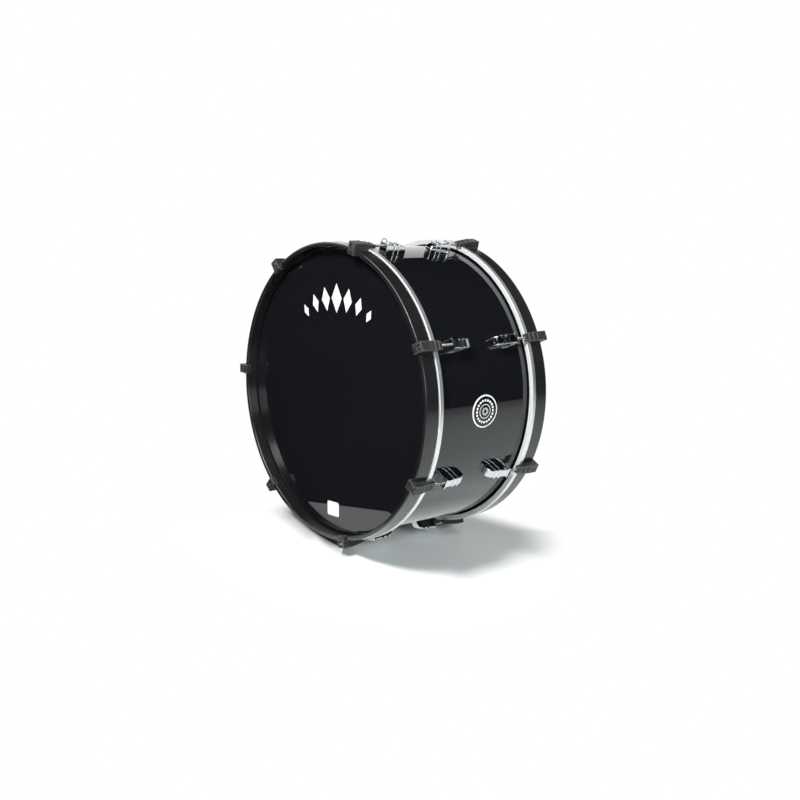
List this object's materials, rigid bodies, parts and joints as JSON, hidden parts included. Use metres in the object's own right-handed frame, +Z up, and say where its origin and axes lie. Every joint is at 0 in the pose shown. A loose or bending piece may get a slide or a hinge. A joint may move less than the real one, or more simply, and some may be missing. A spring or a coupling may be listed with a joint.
{
  "type": "marching bass drum",
  "caption": "Black cylindrical marching bass drum with two film heads, wooden rims, claws, rods, chrome lugs, a vent badge and sling eyelets.",
  "frame": {"origin": "on the ground plane under the middle of the drum as it stands on its rims", "axes": "Y along the drum's axis with the front head towards -Y, Z up, X to the right of the front head"},
  "size_m": [0.7056, 0.3762, 0.7045],
  "materials": {
    "lacquered_shell": "high gloss black lacquer over wood",
    "head_film": "smooth black polyester film",
    "hoop_aluminium": "extruded, clear finish",
    "painted_hoop": "satin black lacquer over wood",
    "coated_claw": "fine textured black powder coat",
    "plated_steel": "bright zinc plated",
    "chrome_lug": "polished chrome",
    "badge_plate": "white and black round plate, no lettering",
    "chrome_fitting": "polished chrome"
  },
  "bodies": {
    "drum_body": {"shell": "lacquered_shell", "head_front": "head_film", "flesh_hoop_front": "hoop_aluminium", "counter_hoop_front": "painted_hoop", "claw_front_1": "coated_claw", "lug_front_1": "chrome_lug", "claw_front_2": "coated_claw", "lug_front_2": "chrome_lug", "claw_front_3": "coated_claw", "lug_front_3": "chrome_lug", "claw_front_4": "coated_claw", "lug_front_4": "chrome_lug", "claw_front_5": "coated_claw", "lug_front_5": "chrome_lug", "claw_front_6": "coated_claw", "lug_front_6": "chrome_lug", "claw_front_7": "coated_claw", "lug_front_7": "chrome_lug", "head_back": "head_film", "flesh_hoop_back": "hoop_aluminium", "counter_hoop_back": "painted_hoop", "claw_back_1": "coated_claw", "lug_back_1": "chrome_lug", "claw_back_2": "coated_claw", "lug_back_2": "chrome_lug", "claw_back_3": "coated_claw", "lug_back_3": "chrome_lug", "claw_back_4": "coated_claw", "lug_back_4": "chrome_lug", "claw_back_5": "coated_claw", "lug_back_5": "chrome_lug", "claw_back_6": "coated_claw", "lug_back_6": "chrome_lug", "claw_back_7": "coated_claw", "lug_back_7": "chrome_lug", "badge": "badge_plate", "vent_grommet": "chrome_fitting", "vent_nut": "plated_steel", "eye_bolt_centre": "plated_steel", "eye_nut_centre": "plated_steel", "eye_bolt_front": "plated_steel", "eye_nut_front": "plated_steel"},
    "tension_rod_front_1": {"tension_rod_front_1": "plated_steel"},
    "tension_rod_front_2": {"tension_rod_front_2": "plated_steel"},
    "tension_rod_front_3": {"tension_rod_front_3": "plated_steel"},
    "tension_rod_front_4": {"tension_rod_front_4": "plated_steel"},
    "tension_rod_front_5": {"tension_rod_front_5": "plated_steel"},
    "tension_rod_front_6": {"tension_rod_front_6": "plated_steel"},
    "tension_rod_front_7": {"tension_rod_front_7": "plated_steel"},
    "tension_rod_back_1": {"tension_rod_back_1": "plated_steel"},
    "tension_rod_back_2": {"tension_rod_back_2": "plated_steel"},
    "tension_rod_back_3": {"tension_rod_back_3": "plated_steel"},
    "tension_rod_back_4": {"tension_rod_back_4": "plated_steel"},
    "tension_rod_back_5": {"tension_rod_back_5": "plated_steel"},
    "tension_rod_back_6": {"tension_rod_back_6": "plated_steel"},
    "tension_rod_back_7": {"tension_rod_back_7": "plated_steel"},
    "sling_ring_centre": {"sling_ring_centre": "plated_steel"},
    "sling_ring_front": {"sling_ring_front": "plated_steel"}
  },
  "joints": [
    {"name": "tension_rod_turn_front_1", "type": "hinge", "parent": "drum_body", "child": "tension_rod_front_1", "pos_m": [0, -0.1881, 0.69446], "axis": [0, -1, 0], "continuous": true},
    {"name": "tension_rod_turn_front_2", "type": "hinge", "parent": "drum_body", "child": "tension_rod_front_2", "pos_m": [0.27325, -0.1881, 0.56287], "axis": [0, -1, 0], "continuous": true},
    {"name": "tension_rod_turn_front_3", "type": "hinge", "parent": "drum_body", "child": "tension_rod_front_3", "pos_m": [0.34074, -0.1881, 0.26719], "axis": [0, -1, 0], "continuous": true},
    {"name": "tension_rod_turn_front_4", "type": "hinge", "parent": "drum_body", "child": "tension_rod_front_4", "pos_m": [0.15164, -0.1881, 0.03007], "axis": [0, -1, 0], "continuous": true},
    {"name": "tension_rod_turn_front_5", "type": "hinge", "parent": "drum_body", "child": "tension_rod_front_5", "pos_m": [-0.15164, -0.1881, 0.03007], "axis": [0, -1, 0], "continuous": true},
    {"name": "tension_rod_turn_front_6", "type": "hinge", "parent": "drum_body", "child": "tension_rod_front_6", "pos_m": [-0.34074, -0.1881, 0.26719], "axis": [0, -1, 0], "continuous": true},
    {"name": "tension_rod_turn_front_7", "type": "hinge", "parent": "drum_body", "child": "tension_rod_front_7", "pos_m": [-0.27325, -0.1881, 0.56287], "axis": [0, -1, 0], "continuous": true},
    {"name": "tension_rod_turn_back_1", "type": "hinge", "parent": "drum_body", "child": "tension_rod_back_1", "pos_m": [0, 0.1881, 0.69446], "axis": [0, 1, 0], "continuous": true},
    {"name": "tension_rod_turn_back_2", "type": "hinge", "parent": "drum_body", "child": "tension_rod_back_2", "pos_m": [0.27325, 0.1881, 0.56287], "axis": [0, 1, 0], "continuous": true},
    {"name": "tension_rod_turn_back_3", "type": "hinge", "parent": "drum_body", "child": "tension_rod_back_3", "pos_m": [0.34074, 0.1881, 0.26719], "axis": [0, 1, 0], "continuous": true},
    {"name": "tension_rod_turn_back_4", "type": "hinge", "parent": "drum_body", "child": "tension_rod_back_4", "pos_m": [0.15164, 0.1881, 0.03007], "axis": [0, 1, 0], "continuous": true},
    {"name": "tension_rod_turn_back_5", "type": "hinge", "parent": "drum_body", "child": "tension_rod_back_5", "pos_m": [-0.15164, 0.1881, 0.03007], "axis": [0, 1, 0], "continuous": true},
    {"name": "tension_rod_turn_back_6", "type": "hinge", "parent": "drum_body", "child": "tension_rod_back_6", "pos_m": [-0.34074, 0.1881, 0.26719], "axis": [0, 1, 0], "continuous": true},
    {"name": "tension_rod_turn_back_7", "type": "hinge", "parent": "drum_body", "child": "tension_rod_back_7", "pos_m": [-0.27325, 0.1881, 0.56287], "axis": [0, 1, 0], "continuous": true},
    {"name": "sling_ring_swing_centre", "type": "hinge", "parent": "drum_body", "child": "sling_ring_centre", "pos_m": [-0.10135, 0, 0.66047], "axis": [-0.9439, 0, -0.3303], "range_deg": [0, 66]},
    {"name": "sling_ring_swing_front", "type": "hinge", "parent": "drum_body", "child": "sling_ring_front", "pos_m": [-0.16533, -0.1288, 0.63233], "axis": [0, -1, 0], "range_deg": [-33, 33]}
  ]
}
